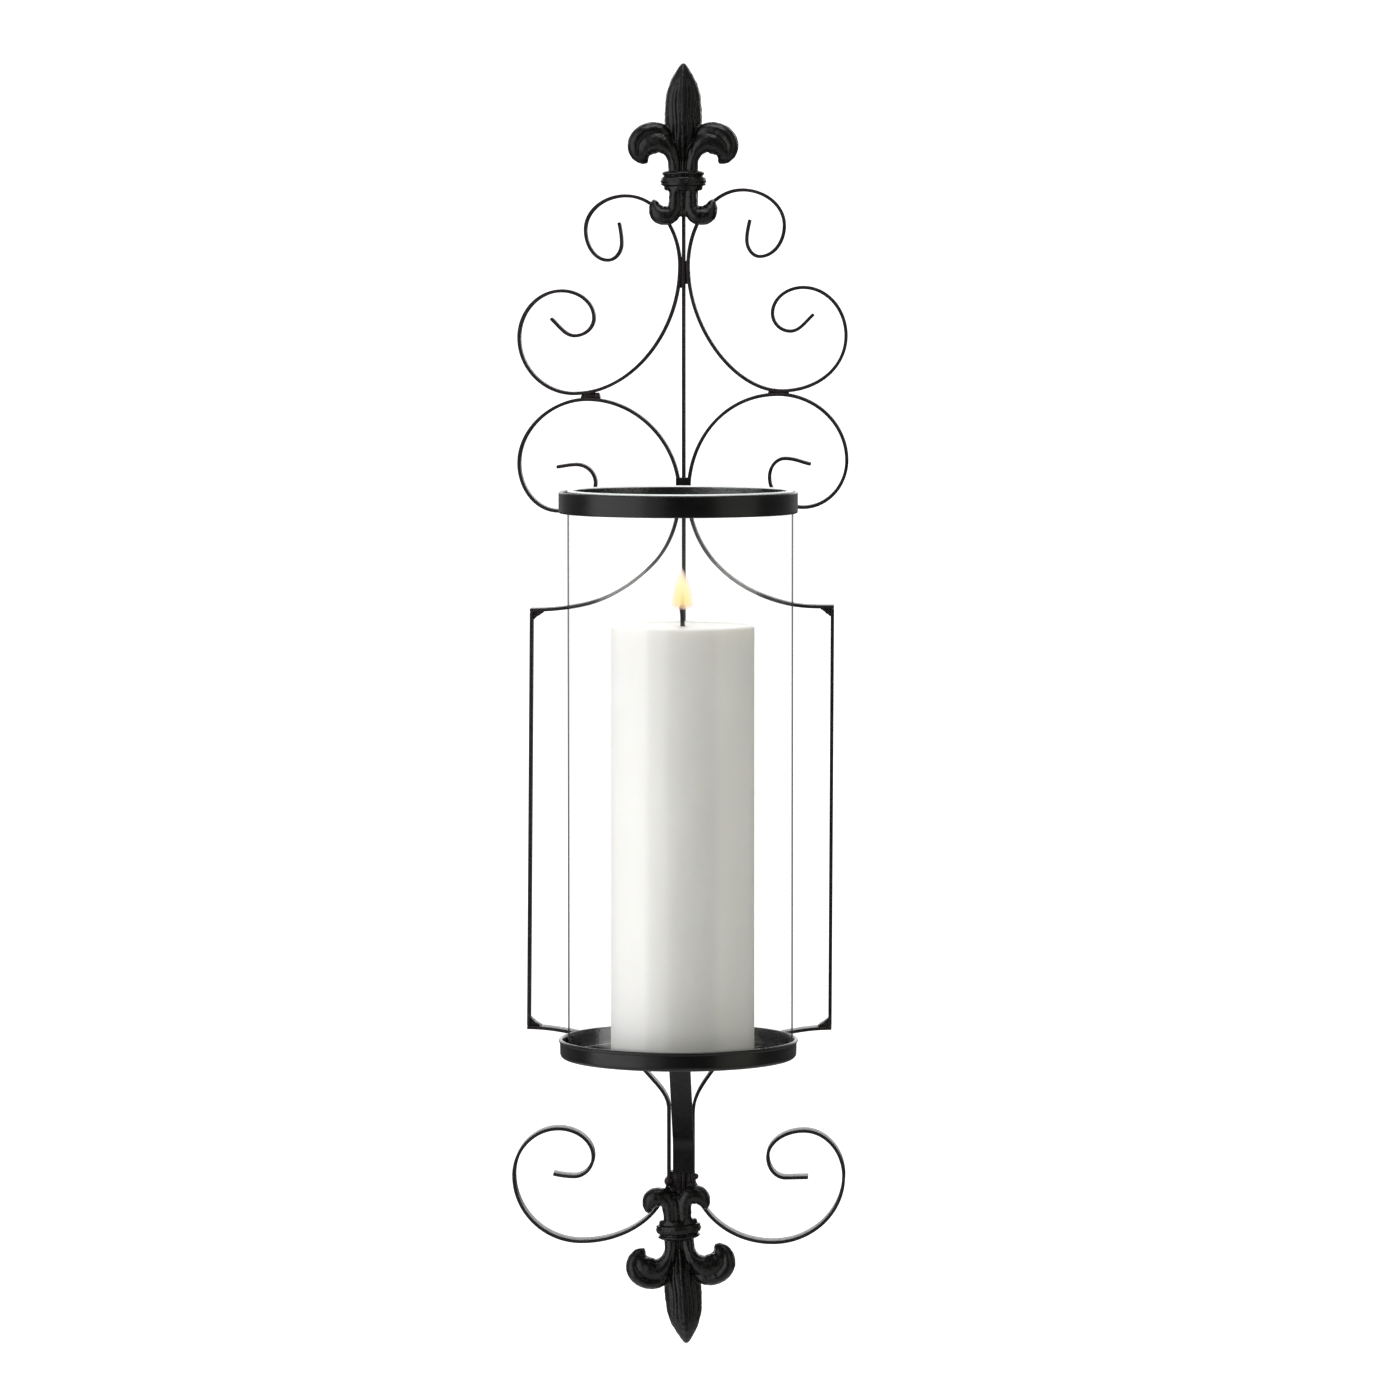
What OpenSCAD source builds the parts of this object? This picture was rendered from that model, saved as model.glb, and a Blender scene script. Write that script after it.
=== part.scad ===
// Wall sconce for one pillar candle: a frame of bent flat bar with two cast finials,
// carrying a pan on a bracket below and a ring above that steadies a glass tube.
// Millimetres. +X to the right, +Z up, the wall is the plane y = 0 and the room is at -Y.
// The origin is the centre of the hanging hole, behind the upper finial's collar.

/* [Flat bar] */
// Width of the bar, which stands on edge and so is the frame's depth
bar_w = 9; // [6:0.5:10]
// Thickness of the bar
bar_t = 1.4; // [1:0.1:1.5]

/* [Glass and candle] */
// Distance of the candle's axis from the wall
axis_out = 70; // [69.5:0.5:80]
// Outer diameter of the glass tube
glass_d = 94; // [90:0.5:94]
// Wall of the glass tube
glass_t = 2; // [1.5:0.1:3]
// Height of the glass tube
glass_h = 236; // [200:1:240]
// How far the loose tube stands to the right of the pan's centre
glass_aside = 0.9; // [0:0.1:0.9]
// Diameter of the pillar candle
candle_d = 60; // [40:1:70]
// Height of the pillar candle
candle_h = 180; // [60:1:200]
// How far the candle stands to the right of the pan's centre
candle_aside = 1.8; // [0:0.1:4]
// Diameter of the wick
wick_d = 2; // [1.5:0.1:3]
// Length of wick above the wax
wick_up = 8; // [4:1:12]

/* [Ring and pan] */
// Outer diameter of the ring round the top of the glass
ring_d = 99.5; // [99.5:0.1:100]
// Height of the ring's band
ring_h = 9; // [7:0.5:12]
// Thickness of the ring's band
ring_t = 1.5; // [1:0.1:1.5]
// Top of the ring, below the hanging hole
ring_down = 131; // [128:1:134]
// Diameter of the pan over its wall
pan_d = 98.8; // [98.6:0.1:99.5]
// Height of the pan
pan_h = 8.1; // [6:0.1:12]
// Thickness of the pan's sheet
pan_t = 1.2; // [0.8:0.1:1.2]
// Top of the pan's rim, below the hanging hole
pan_down = 359.5; // [359:0.5:361]

/* [Bracket] */
// Width of the bracket's flat bar
bracket_w = 9; // [8:0.5:12]
// Thickness of the bracket's flat bar
bracket_t = 2.5; // [2:0.1:3]
// Inside radius of the bracket's bends
bracket_bend = 7; // [4:0.5:9]
// Lower end of the bracket, below the hanging hole
bracket_down = 425; // [422:1:427]

/* [Finials] */
// Depth of the finial castings in front of the bar
finial_depth = 12; // [9:0.5:12.5]
// Centre of the upper finial's collar, below the hanging hole
top_collar_down = 1.9; // [0:0.1:3]
// Centre of the lower finial's collar, below the hanging hole
low_collar_down = 449.2; // [448:0.1:451]
// How far the lower finial's collar is to the left
low_collar_aside = 2.1; // [0:0.1:3]
// Lean of the lower finial
low_finial_lean = 4; // [0:0.5:5]

/* [Hanger] */
// Radius of the hanging hole
hang_r = 3; // [2:0.1:3.5]
// Thickness of the hanger plate
hanger_t = 2; // [1.5:0.1:3]
// Width of the hanger plate
hanger_w = 12; // [10:0.5:12]

/* [Hidden] */
$fn = 96;

black = [0.07, 0.065, 0.065];
steel = [0.55, 0.55, 0.56];
clear_glass = [0.85, 0.9, 0.9, 0.35];
wax = [0.93, 0.92, 0.88];

steps = 12;                          // straight pieces in each bend of a scroll
round_k = 0.55;                      // fullness of a quarter ellipse
weld_in = 1;                         // welds stop this far inside both faces of the bar
pan_floor = -pan_down - pan_h + pan_t;
pan_corner = 2;                      // outer corner radius of the pan
pan_lip = 0.6;                       // how far the rolled rim stands out
ring_r = ring_d / 2;
bar_top = -9;                        // the bar stops short of the hanging hole
bar_bottom = -442;
waist_t = 2;                         // thickness of the plate across the waist
waist_half_w = 3.2;
waist_top = -127.6;
waist_bottom = -ring_down - ring_h;
corner_leg = 4.6;                    // size of the fillet weld inside a corner
arc_steps = 8;                       // straight pieces in each bend of the bracket

// Scroll centre lines, seen from the front with the frame's centre at x = 0.
// Each knot is [across, up, heading in degrees, fullness of the bend that leads to it].
top_knots_right = [
    [28.1, -18.4, 258], [26.8, -26.8, 270, 0.35], [32.3, -34, 0, round_k],
    [42.7, -20.8, 90, round_k], [24.8, -5.9, 180, round_k], [1.9, -38, 270, round_k],
    [41.5, -90.9, 0, 0.5], [68.9, -67.5, 90, 0.57], [50.8, -47.1, 180, round_k],
    [37.7, -58, 270, round_k], [45.3, -65.6, 0, round_k], [55.2, -58.4, 42, 0.4],
];
top_knots_left = [
    [27.4, -19.6, 258], [26.3, -28.2, 270, 0.35], [32.2, -35.6, 0, round_k],
    [41.6, -22.6, 90, round_k], [24.5, -8.4, 180, round_k], [1.6, -38, 270, round_k],
    [46.5, -92.1, 0, 0.53], [69.9, -68.4, 90, round_k], [51.8, -48.6, 180, round_k],
    [38.1, -59.9, 270, round_k], [46.3, -67.6, 0, round_k], [56.4, -60.2, 42, 0.4],
];
mid_knots_right = [
    [54.1, -122, 168], [43, -119.6, 180, 0.4], [36.5, -127.5, 270, round_k],
    [50.7, -140.3, 0, round_k], [69.3, -120.4, 90, round_k], [40, -92.4, 180, round_k],
    [2, -134.5, 270, 0.57], [13.4, -164, 312, 0.37], [44, -181.2, 347, 0.36],
    [64, -182.6, 0, 0.35],
];
mid_knots_left = [
    [54, -123.3, 174], [45.5, -122.3, 180, 0.4], [37.5, -130, 270, round_k],
    [53.2, -142, 0, round_k], [70, -121.6, 90, round_k], [40.8, -94.6, 180, 0.53],
    [1.9, -134.5, 270, 0.54], [13.5, -165, 315, 0.37], [43, -182, 348, 0.36],
    [65.5, -184.2, 0, 0.35],
];
bottom_knots_right = [
    [63.2, -362.8, 180], [44, -365, 192, 0.35], [11.8, -382, 234, 0.38],
    [3.9, -401, 270, 0.4], [3.9, -425, 270, 0.33], [38, -455.2, 0, round_k],
    [68.5, -426.6, 90, round_k], [51.5, -407.1, 180, round_k], [36, -418.4, 270, round_k],
    [43.5, -427.3, 0, round_k], [53.3, -427.1, 0, 0.35],
];
bottom_knots_left = [
    [67, -363, 180], [46, -365.5, 192, 0.35], [16, -382, 229, 0.38],
    [6.4, -398, 270, 0.4], [6.4, -426, 270, 0.33], [44, -455.2, 0, round_k],
    [72.8, -426.8, 90, round_k], [53.6, -406.6, 180, round_k], [38.8, -418.6, 270, round_k],
    [47, -427.2, 0, round_k], [55.9, -426.1, 12, 0.35],
];

// Right half of a finial's outline, from the collar's centre with the flower upwards
petal_knots = [
    [5.6, 0, 90], [5.8, 5, 90, 0.35], [11.4, 12.4, 0, round_k], [14.3, 9.6, 270, round_k],
    [16, 6.8, 0, round_k], [23.4, 15.8, 90, round_k], [14, 24.6, 180, round_k],
    [6.5, 22.5, 205, 0.35],
];
foot_knots = [
    [6, 0, 270], [6, -6, 270, 0.35], [7.6, -10, 0, round_k], [10.2, -8.2, 60, 0.4],
    [12.2, -7.4, 330, 0.4], [14.3, -13.6, 270, round_k], [8.5, -18.4, 180, round_k],
    [3.2, -17.8, 160, 0.35], [0, -15.9, 150, 0.35],
];
// Half width of the middle petal, and of the collar, against height above the collar
middle_petal = [
    [0, 2], [4.6, 2], [5.4, 8], [6.8, 16], [7.8, 22], [8, 26], [7.7, 31], [6.9, 36],
    [5.6, 41], [3.9, 45], [2, 48.2], [0.9, 49.2], [0, 49.4],
];
collar_profile = [
    [0, -4.2], [7.8, -3.8], [9.2, -2.4], [9.8, -0.6], [9.6, 0.8], [8.8, 1.6],
    [9, 2.6], [8.6, 3.6], [7.4, 4.1], [0, 4.4],
];

function unit(deg) = [cos(deg), sin(deg)];
function place(knot) = [knot[0], knot[1]];
// Four control points of the cubic bend between two knots
function bend(a, b) =
    let (from = place(a), to = place(b), out = unit(a[2]), into = unit(b[2]), gap = to - from)
    [from, from + out * b[3] * abs(gap * out), to - into * b[3] * abs(gap * into), to];
function along(p, t) =
    pow(1 - t, 3) * p[0] + 3 * t * pow(1 - t, 2) * p[1] + 3 * t * t * (1 - t) * p[2]
    + pow(t, 3) * p[3];
function slope(p, t) =
    pow(1 - t, 2) * (p[1] - p[0]) + 2 * t * (1 - t) * (p[2] - p[1]) + t * t * (p[3] - p[2]);
function left_of(v) = [-v[1], v[0]] / norm(v);
// Line through the knots, moved sideways by off
function curve(knots, off = 0) = [
    for (i = [0 : len(knots) - 2])
        let (p = bend(knots[i], knots[i + 1]), last = i == len(knots) - 2 ? steps : steps - 1)
            for (j = [0 : last]) along(p, j / steps) + left_of(slope(p, j / steps)) * off
];
function backwards(points) = [for (i = [len(points) - 1 : -1 : 0]) points[i]];
function strip_outline(knots) =
    concat(curve(knots, bar_t / 2), backwards(curve(knots, -bar_t / 2)));

// Where a shoulder and the lower corner's strip end, and the height of a scroll's closest line
function shoulder_end(upper) = place(upper[len(upper) - 1]);
function corner_start(lower) = place(lower[0]);
function lowest_line(top_scroll) = top_scroll[6][1];
function highest_line(mid_scroll) = mid_scroll[5][1];

// The bar that joins a shoulder to the lower corner, butted between the two strips
function side_bar_outline(upper, lower) =
    let (
        half = [bar_t / 2, 0],
        top = shoulder_end(upper) - [bar_t / 2, bar_t / 2],
        low = corner_start(lower) + [-bar_t / 2, bar_t / 2]
    )
    [top - half, top + half, low + half, low - half];

// Points of an arc that rounds the corner b on the way from a to c
function corner_arc(a, b, c, r) =
    let (
        u = (a - b) / norm(a - b),
        v = (c - b) / norm(c - b),
        half = acos(u * v) / 2,
        middle = b + (u + v) / norm(u + v) * r / sin(half),
        start = b + u * r / tan(half) - middle,
        end = b + v * r / tan(half) - middle,
        side = sign(start[0] * end[1] - start[1] * end[0]),
        first = atan2(start[1], start[0])
    )
    [for (i = [0 : arc_steps]) middle + r * unit(first + side * (180 - 2 * half) * i / arc_steps)];

// Stands a flat drawing up in the plane of the frame, from the wall side to the room side
module stand_up(depth, back = 0)
    translate([0, -back, 0]) rotate([90, 0, 0]) linear_extrude(depth) children();

module to_left() mirror([1, 0, 0]) children();

module strip(knots) color(black) stand_up(bar_w) polygon(strip_outline(knots));

module centre_bar()
    color(black)
        translate([-bar_t / 2, -bar_w, bar_bottom]) cube([bar_t, bar_w, bar_top - bar_bottom]);

module top_scroll_left() to_left() strip(top_knots_left);
module top_scroll_right() strip(top_knots_right);
module mid_scroll_left() to_left() strip(mid_knots_left);
module mid_scroll_right() strip(mid_knots_right);
module bottom_scroll_left() to_left() strip(bottom_knots_left);
module bottom_scroll_right() strip(bottom_knots_right);

module side_bar(upper, lower)
    color(black) stand_up(bar_w) polygon(side_bar_outline(upper, lower));
module side_bar_left() to_left() side_bar(mid_knots_left, bottom_knots_left);
module side_bar_right() side_bar(mid_knots_right, bottom_knots_right);

// A weld fills a drawn area that the bars beside it don't already fill
module weld(outlines)
    color(black)
        stand_up(bar_w - 2 * weld_in, weld_in)
            difference() {
                children();
                for (outline = outlines) polygon(outline);
            }

module belly_weld(knots, low, high) {
    middle = 2.2;
    weld([strip_outline(knots)])
        polygon([[bar_t / 2, low], [middle, low], [middle, high], [bar_t / 2, high]]);
}
module belly_welds() {
    belly_weld(top_knots_right, -45.5, -36);
    to_left() belly_weld(top_knots_left, -47, -34.5);
}

// Weld where an upper scroll rests on a middle scroll
module scroll_weld(upper, lower, across, span) {
    narrower = 0.8;
    low = highest_line(lower);
    high = lowest_line(upper);
    weld([strip_outline(upper), strip_outline(lower)])
        polygon([
            [across - span / 2, low],
            [across + span / 2, low],
            [across + span / 2 - narrower, high],
            [across - span / 2 + narrower, high],
        ]);
}
module scroll_welds() {
    scroll_weld(top_knots_right, mid_knots_right, 40.3, 9);
    to_left() scroll_weld(top_knots_left, mid_knots_left, 39.5, 8.4);
}

// Fillet welds where a shoulder and a lower strip meet the side bar
module corner_weld(strip, bar, corner, up)
    weld([strip, bar])
        polygon([corner, corner - [corner_leg + bar_t, 0], corner + [0, up * corner_leg]]);
module corner_pair(upper, lower) {
    bar = side_bar_outline(upper, lower);
    corner_weld(strip_outline(upper), bar, shoulder_end(upper) - [bar_t / 2, 0], -1);
    corner_weld(strip_outline(lower), bar, corner_start(lower) - [bar_t / 2, 0], 1);
}
module corner_welds() {
    corner_pair(mid_knots_right, bottom_knots_right);
    to_left() corner_pair(mid_knots_left, bottom_knots_left);
}

// Blocks that hold the lower scrolls off the centre bar, from the bracket's end down behind
// the lower finial's feet
module base_spacer(knots) {
    spacer_top = -bracket_down - 0.3;
    spacer_h = 9;
    color(black)
        translate([bar_t / 2, -bar_w + weld_in, spacer_top - spacer_h])
            cube([knots[3][0] - bar_t, bar_w - 2 * weld_in, spacer_h]);
}
module base_spacers() {
    base_spacer(bottom_knots_right);
    to_left() base_spacer(bottom_knots_left);
}

// Finial, flat at the back, with its flower upwards and its collar's centre at the origin
module finial_half_outline() {
    polygon(concat(curve(petal_knots), [[0, 22.5], [0, 0]]));
    polygon(concat(curve(foot_knots), [[0, 0]]));
}
module finial() {
    petal_depth = finial_depth * 0.75;
    room_side = 60;
    color(black) {
        stand_up(petal_depth) {
            finial_half_outline();
            mirror([1, 0]) finial_half_outline();
        }
        intersection() {
            union() {
                rotate_extrude() polygon(middle_petal);
                rotate_extrude() polygon(collar_profile);
            }
            translate([-room_side, -room_side, -room_side])
                cube([2 * room_side, room_side, 2 * room_side]);
        }
    }
}
module top_finial() translate([0, -bar_w, -top_collar_down]) finial();
module bottom_finial()
    translate([-low_collar_aside, -bar_w, -low_collar_down])
        rotate([0, 180 - low_finial_lean, 0]) finial();

// Steel plate at the back of the centre bar, with the hole that hangs on the nail
module hanger_plate() {
    above = 8;
    below = 15;
    half = hanger_w / 2;
    color(steel)
        difference() {
            translate([-half, -hanger_t, -below]) cube([hanger_w, hanger_t, above + below]);
            translate([0, 1, 0]) rotate([90, 0, 0]) cylinder(r = hang_r, h = hanger_t + 2);
            translate([-bar_t / 2, -bar_w, bar_top - below]) cube([bar_t, bar_w + 1, below]);
        }
}

module on_axis(up) translate([0, -axis_out, up]) children();

module band(r, t, h)
    rotate_extrude() translate([r - t, 0]) square([t, h]);

module top_ring() color(black) on_axis(-ring_down - ring_h) band(ring_r, ring_t, ring_h);

// Plate across the waist, on the front edges of the centre bar and middle scrolls
module waist_plate()
    color(black)
        translate([-waist_half_w, -bar_w - waist_t, waist_bottom])
            cube([2 * waist_half_w, waist_t, waist_top - waist_bottom]);

module ring_standoff() {
    standoff_w = 8;
    inset = 1.5;
    color(black)
        difference() {
            translate([-standoff_w / 2, -axis_out, -ring_down - ring_h + inset])
                cube([standoff_w, axis_out - bar_w - waist_t, ring_h - 2 * inset]);
            on_axis(-ring_down - ring_h - 1) cylinder(r = ring_r, h = ring_h + 2);
        }
}

// Pressed pan: flat floor, rounded outer corner, upright wall and a small rolled rim
module pan() {
    r = pan_d / 2;
    lip_h = 1.6;
    corner = [
        for (turn = [-90 : 15 : 0]) [r - pan_corner, pan_corner] + pan_corner * unit(turn)
    ];
    rim = [
        for (turn = [0 : 30 : 180])
            [r, pan_h - lip_h / 2] + [pan_lip * sin(turn), -cos(turn) * lip_h / 2]
    ];
    inside = [[r - pan_t, pan_h], [r - pan_t, pan_t], [0, pan_t]];
    color(black)
        on_axis(-pan_down - pan_h)
            rotate_extrude() polygon(concat([[0, 0]], corner, rim, inside));
}

// Bracket's side view, as [distance from the wall, height] and the bend radius at each corner
bracket_path = [
    [axis_out + 24, -pan_down - pan_h],
    [axis_out - 10, -pan_down - pan_h],
    [bar_w, -411],
    [bar_w, -bracket_down],
];
module pan_bracket() {
    p = bracket_path;
    t = bracket_t;
    slope_dir = (p[2] - p[1]) / norm(p[2] - p[1]);
    tilt = atan2(-slope_dir[1], -slope_dir[0]);
    under_pan = p[0] - [0, t];
    under_knee = p[1] + [-t * tan(tilt / 2), -t];
    front_heel = p[2] + [t, -t * tan((90 - tilt) / 2)];
    front_foot = p[3] + [t, 0];
    upper = concat(
        [p[0]],
        corner_arc(p[0], p[1], p[2], bracket_bend + t),
        corner_arc(p[1], p[2], p[3], bracket_bend),
        [p[3]]
    );
    lower = concat(
        [front_foot],
        corner_arc(front_foot, front_heel, under_knee, bracket_bend + t),
        corner_arc(front_heel, under_knee, under_pan, bracket_bend),
        [under_pan]
    );
    color(black)
        translate([bracket_w / 2, 0, 0])
            rotate([0, 0, -90]) rotate([90, 0, 0])
                linear_extrude(bracket_w) polygon(concat(upper, lower));
}

module glass_tube()
    color(clear_glass)
        translate([glass_aside, 0, 0]) on_axis(pan_floor) band(glass_d / 2, glass_t, glass_h);

module candle() {
    bore_r = wick_d / 2 + 0.2;
    color(wax)
        translate([candle_aside, 0, 0]) on_axis(pan_floor)
            rotate_extrude() translate([bore_r, 0]) square([candle_d / 2 - bore_r, candle_h]);
}

module wick()
    color([0.1, 0.09, 0.08])
        translate([candle_aside, 0, 0])
            on_axis(pan_floor) cylinder(d = wick_d, h = candle_h + wick_up);

centre_bar();
top_scroll_left();
top_scroll_right();
mid_scroll_left();
mid_scroll_right();
side_bar_left();
side_bar_right();
bottom_scroll_left();
bottom_scroll_right();
belly_welds();
scroll_welds();
corner_welds();
base_spacers();
top_finial();
bottom_finial();
hanger_plate();
top_ring();
waist_plate();
ring_standoff();
pan();
pan_bracket();
glass_tube();
candle();
wick();
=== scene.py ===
"""Looks of the wall sconce candle holder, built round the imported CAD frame.

Places come from the frame in metres. Shapes drawn here are in millimetres and are turned
into metres by MM where they become meshes. +X is right, +Z is up, the room is at -Y.
"""

import math

import bmesh
import bpy
import numpy as np
from mathutils import Matrix, Vector, noise


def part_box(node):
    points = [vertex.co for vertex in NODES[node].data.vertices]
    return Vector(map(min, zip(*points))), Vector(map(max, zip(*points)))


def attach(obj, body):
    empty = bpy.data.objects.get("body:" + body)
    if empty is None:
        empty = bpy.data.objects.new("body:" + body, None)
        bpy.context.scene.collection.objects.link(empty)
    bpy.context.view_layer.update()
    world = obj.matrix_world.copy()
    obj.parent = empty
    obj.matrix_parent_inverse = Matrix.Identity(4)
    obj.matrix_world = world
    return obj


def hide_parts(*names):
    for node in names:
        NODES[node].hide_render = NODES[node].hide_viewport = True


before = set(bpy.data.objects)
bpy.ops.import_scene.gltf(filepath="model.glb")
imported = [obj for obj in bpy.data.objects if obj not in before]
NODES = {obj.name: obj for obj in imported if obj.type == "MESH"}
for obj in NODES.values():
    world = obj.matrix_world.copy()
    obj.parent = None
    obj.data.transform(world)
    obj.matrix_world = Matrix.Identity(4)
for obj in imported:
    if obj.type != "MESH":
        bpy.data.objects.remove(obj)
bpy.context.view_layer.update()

MM = 0.001
WAX_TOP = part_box("candle")[1].z
WICK_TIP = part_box("wick")[1].z


# ---------------------------------------------------------------- camera and stage

VIEW_DISTANCE = 2.8
VIEW_AZIMUTH = math.radians(1.9)
VIEW_PITCH = math.radians(4.18)
AIM = Vector((0.00675, 0.0, -0.223))
LENS = 168.63
SENSOR = 36.0

# Greys of the tent's light, from the room side (0) round to the wall side (1)
TENT_ABOVE = ((0.0, 0.06), (0.1, 0.10), (0.25, 0.24), (0.5, 0.17), (0.88, 0.5), (0.96, 2.4))
TENT_BELOW = ((0.0, 0.06), (0.1, 0.09), (0.25, 0.22), (0.5, 0.14), (0.85, 0.16), (0.95, 0.14))
# Half height of the soft seam between the upper and the lower tent
TENT_SEAM = 0.03
# Strength of the white that the camera sees behind the sconce
SEEN_WHITE = 1.35
# Sockets of a Mix node that mixes colours, by number since its modes share their names
MIX_FIRST, MIX_SECOND, MIX_RESULT = 6, 7, 2

FLOOR_RADIUS = 1.3
FLOOR_HEIGHT = -1.1
FLOOR_SIDES = 96

WHITE = (1.0, 1.0, 1.0)
CREAM = (1.0, 0.985, 0.85)
LIGHT_AIM = Vector((0, 0, -0.25))
# Softboxes as name, place, width, height, watts and colour
SOFTBOXES = (
    ("key", (-1.34, -0.78, -0.12), 1.7, 2.4, 26, WHITE),
    ("front", (-0.65, -1.6, -0.1), 0.7, 2.0, 3.2, WHITE),
    ("fill", (1.42, -0.85, -0.1), 1.3, 2.2, 7.0, CREAM),
    ("top", (0.1, -0.3, 1.5), 1.4, 1.4, 26, WHITE),
)


def add_camera():
    """A long lens a little to the right of the sconce and a little above it."""
    forward = Vector((
        -math.sin(VIEW_AZIMUTH) * math.cos(VIEW_PITCH),
        math.cos(VIEW_AZIMUTH) * math.cos(VIEW_PITCH),
        -math.sin(VIEW_PITCH),
    ))
    data = bpy.data.cameras.new("camera")
    data.lens = LENS
    data.sensor_width = SENSOR
    camera = bpy.data.objects.new("camera", data)
    camera.location = AIM - forward * VIEW_DISTANCE
    camera.rotation_euler = forward.to_track_quat("-Z", "Y").to_euler()
    bpy.context.scene.collection.objects.link(camera)
    bpy.context.scene.camera = camera


def add_softbox(name, place, width, height, watts, colour):
    """A rectangular light that faces the middle of the sconce."""
    data = bpy.data.lights.new(name, "AREA")
    data.shape = "RECTANGLE"
    data.size = width
    data.size_y = height
    data.energy = watts
    data.color = colour
    light = bpy.data.objects.new(name, data)
    light.location = place
    aim = LIGHT_AIM - Vector(place)
    light.rotation_euler = aim.to_track_quat("-Z", "Y").to_euler()
    bpy.context.scene.collection.objects.link(light)


def fill_ramp(node, stops):
    """Sets the stops of a colour ramp. Each is a position with a colour or a grey."""
    elements = node.color_ramp.elements
    while len(elements) < len(stops):
        elements.new(0.5)
    for element, (position, tone) in zip(elements, stops):
        colour = (tone, tone, tone) if isinstance(tone, float) else tone
        element.position = position
        element.color = (*colour, 1)


def add_world():
    """A tent that looks pure white, but is grey as a light: brightest above and behind."""
    world = bpy.data.worlds.new("studio")
    world.use_nodes = True
    nodes, links = world.node_tree.nodes, world.node_tree.links
    lit = nodes["Background"]
    where = nodes.new("ShaderNodeTexCoord")
    split = nodes.new("ShaderNodeSeparateXYZ")
    links.new(where.outputs["Generated"], split.inputs["Vector"])

    def stretched(socket, first, last):
        """A part of the direction looked in, from 0 at first to 1 at last."""
        span = nodes.new("ShaderNodeMapRange")
        span.inputs["From Min"].default_value = first
        span.inputs["From Max"].default_value = last
        links.new(split.outputs[socket], span.inputs["Value"])
        return span.outputs["Result"]

    depth = stretched("Y", -1, 1)
    blend = nodes.new("ShaderNodeMix")
    blend.data_type = "RGBA"
    links.new(stretched("Z", -TENT_SEAM, TENT_SEAM), blend.inputs["Factor"])
    for greys, socket in ((TENT_BELOW, MIX_FIRST), (TENT_ABOVE, MIX_SECOND)):
        ramp = nodes.new("ShaderNodeValToRGB")
        fill_ramp(ramp, greys)
        links.new(depth, ramp.inputs["Fac"])
        links.new(ramp.outputs["Color"], blend.inputs[socket])
    seen = nodes.new("ShaderNodeBackground")
    seen.inputs["Color"].default_value = (*WHITE, 1)
    seen.inputs["Strength"].default_value = SEEN_WHITE
    path = nodes.new("ShaderNodeLightPath")
    mix = nodes.new("ShaderNodeMixShader")
    links.new(blend.outputs[MIX_RESULT], lit.inputs["Color"])
    lit.inputs["Strength"].default_value = 1.0
    links.new(path.outputs["Is Camera Ray"], mix.inputs["Fac"])
    links.new(lit.outputs["Background"], mix.inputs[1])
    links.new(seen.outputs["Background"], mix.inputs[2])
    links.new(mix.outputs["Shader"], nodes["World Output"].inputs["Surface"])
    bpy.context.scene.world = world


def add_floor():
    """A round pale floor well below the sconce, which hangs on a wall that isn't drawn."""
    shape = bmesh.new()
    rim = []
    for k in range(FLOOR_SIDES):
        turn = 2 * math.pi * k / FLOOR_SIDES
        rim.append(shape.verts.new((
            FLOOR_RADIUS * math.cos(turn), FLOOR_RADIUS * math.sin(turn), FLOOR_HEIGHT)))
    shape.faces.new(rim)
    floor = make_object("floor", shape, floor_material())


# ---------------------------------------------------------------- materials


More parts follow.
